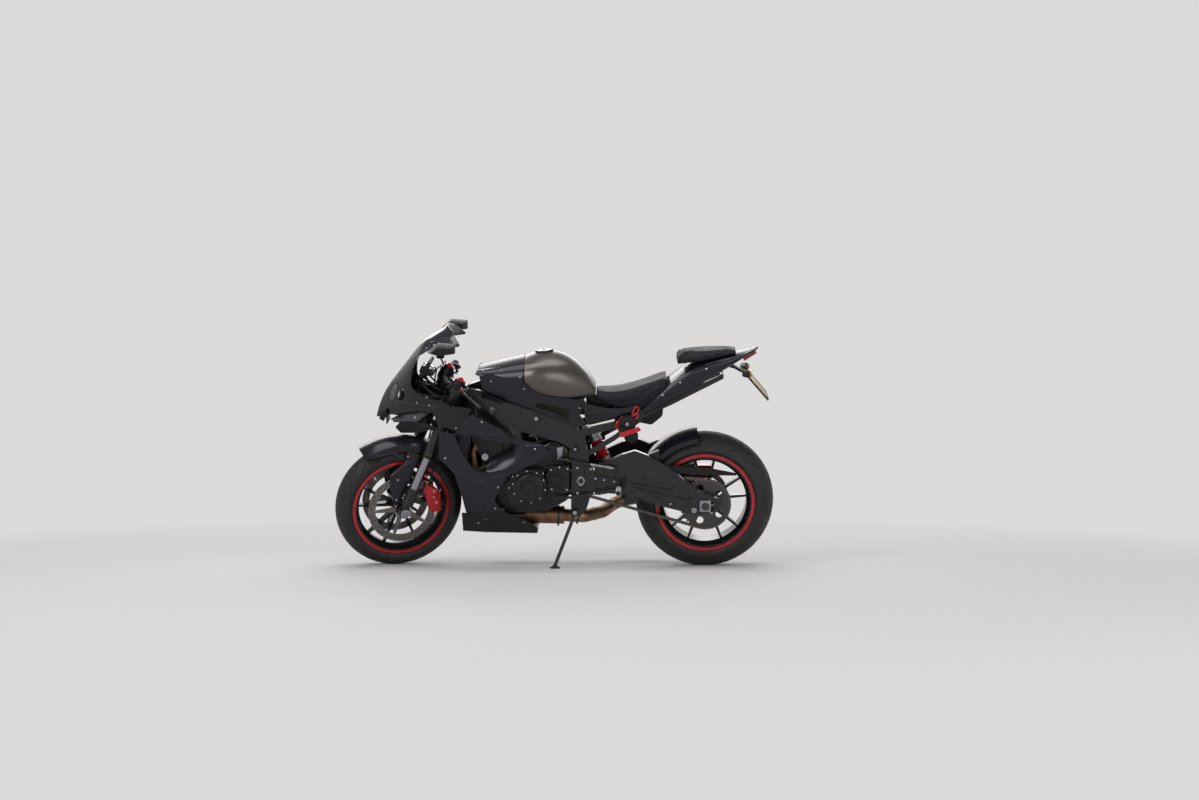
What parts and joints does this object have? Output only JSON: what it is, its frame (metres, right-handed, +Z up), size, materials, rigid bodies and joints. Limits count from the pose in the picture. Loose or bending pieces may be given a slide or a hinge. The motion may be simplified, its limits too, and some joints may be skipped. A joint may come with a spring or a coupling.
{
  "type": "sport motorcycle",
  "caption": "Fully faired sport motorcycle with twin-spar frame, chain drive and inverted fork, leaning on its side stand with the steering at the left stop.",
  "frame": {"origin": "middle of the whole outline, on the ground under the machine as it leans on its stand", "axes": "+X forwards along the machine, +Y to its left, +Z up from the ground"},
  "size_m": [2.0365, 0.8216, 1.1607],
  "materials": {
    "frame_black": "satin black",
    "silver_alloy": "satin",
    "steel": "ground",
    "engine_black": "satin black",
    "exhaust_steel": "heat stained",
    "black_plastic": "fine grained",
    "body_paint": "satin charcoal",
    "tank_paint": "satin bronze grey",
    "red_paint": "gloss red",
    "shock_black": "satin",
    "lamp_glass": "smoke tinted",
    "seat_vinyl": "matt vinyl",
    "tyre_rubber": "matt",
    "wheel_black": "gloss black"
  },
  "bodies": {
    "root": {"frame": "frame_black", "pivot_axle": "silver_alloy", "subframe": "frame_black", "hanging_lock": "black_plastic", "engine_block": "engine_black", "engine_covers": "engine_black", "threaded_bosses": "frame_black", "sprocket_cover": "engine_black", "radiator": "engine_black", "exhaust_pipes": "exhaust_steel", "silencer": "exhaust_steel", "swingarm": "silver_alloy", "rear_axle": "silver_alloy", "rear_hugger": "black_plastic", "chain_guard": "black_plastic", "chain": "steel", "shock_body": "shock_black", "shock_spring": "red_paint", "shock_mount": "frame_black", "rear_caliper": "red_paint", "rearsets": "black_plastic", "stand_bracket": "frame_black", "nose_fairing": "body_paint", "lamps": "lamp_glass", "windscreen": "lamp_glass", "side_fairing_left": "body_paint", "side_fairing_right": "body_paint", "belly_pan": "body_paint", "chin_ducts": "black_plastic", "fuel_tank": "tank_paint", "airbox_cover": "black_plastic", "frame_trims": "black_plastic", "rider_seat": "seat_vinyl", "pillion_seat": "seat_vinyl", "tail_fairing": "body_paint", "undertail": "black_plastic", "plate_hanger": "black_plastic", "mirrors": "black_plastic", "instrument_panel": "black_plastic", "fairing_stay": "frame_black"},
    "fork": {"fork_tubes": "silver_alloy", "fork_sliders": "steel", "fork_feet": "silver_alloy", "top_yoke": "silver_alloy", "bottom_yoke": "silver_alloy", "steering_stem": "steel", "front_axle": "silver_alloy", "front_mudguard": "black_plastic", "front_calipers": "red_paint", "clip_ons": "black_plastic", "brake_hoses": "black_plastic", "brake_reservoir": "black_plastic"},
    "front_wheel": {"front_rim": "wheel_black", "front_tyre": "tyre_rubber", "front_discs": "steel"},
    "rear_wheel": {"rear_rim": "wheel_black", "rear_tyre": "tyre_rubber", "rear_sprocket": "steel", "rear_disc": "steel"},
    "side_stand": {"side_stand": "steel"}
  },
  "joints": [
    {"name": "steering", "type": "hinge", "parent": "root", "child": "fork", "pos_m": [0.44816, -0.03025, 0.83968], "axis": [-0.4043, 0.1821, 0.8963], "range_deg": [-42, 0]},
    {"name": "front_wheel_spin", "type": "hinge", "parent": "fork", "child": "front_wheel", "pos_m": [0.73149, -0.13004, 0.28678], "axis": [-0.3283, 0.8858, -0.3281], "continuous": true},
    {"name": "rear_wheel_spin", "type": "hinge", "parent": "root", "child": "rear_wheel", "pos_m": [-0.69825, -0.13791, 0.31358], "axis": [-0.0005, 0.9799, -0.1994], "continuous": true},
    {"name": "side_stand_fold", "type": "hinge", "parent": "root", "child": "side_stand", "pos_m": [-0.09842, 0.01054, 0.24912], "axis": [0.0006, 0.9738, 0.2274], "range_deg": [0, 94]}
  ]
}
